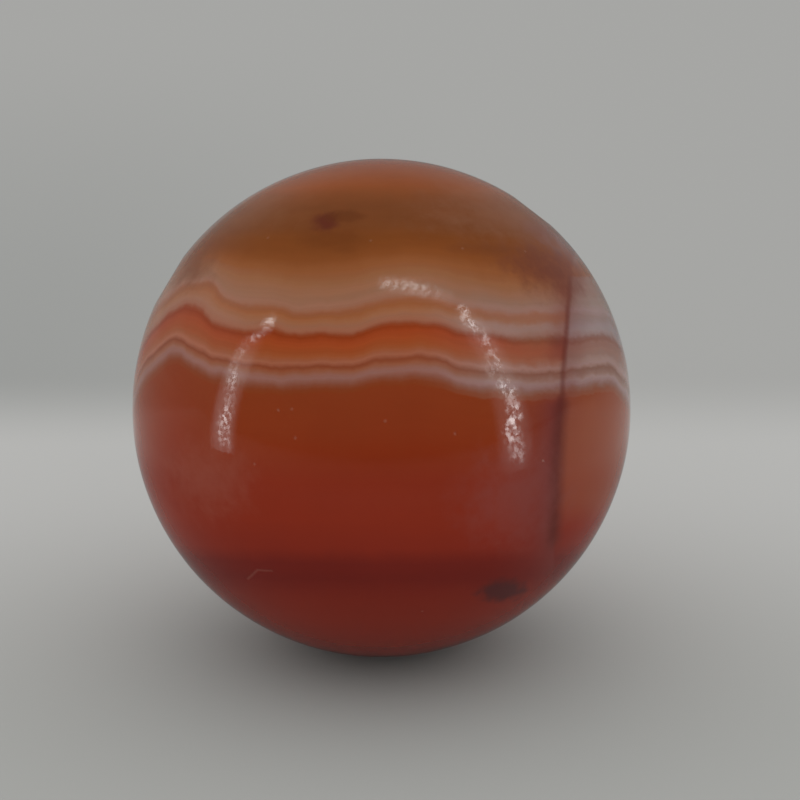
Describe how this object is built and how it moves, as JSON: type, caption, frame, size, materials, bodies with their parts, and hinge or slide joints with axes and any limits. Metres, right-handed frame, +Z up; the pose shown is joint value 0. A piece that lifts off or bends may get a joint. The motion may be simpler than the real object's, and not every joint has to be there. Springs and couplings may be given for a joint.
{
  "type": "agate marble",
  "caption": "Polished solid ball of banded carnelian agate, hand-ground, with pale wavy bands across its middle and an old healed fracture down one side.",
  "frame": {"origin": "centre of the ball", "axes": "+Z up; -Y towards the side whose middle is crossed by the pale bands; +X towards the side with the fracture"},
  "size_m": [0.025, 0.025, 0.025],
  "materials": {
    "agate": "polished"
  },
  "bodies": {
    "root": {"marble": "agate"}
  },
  "joints": []
}
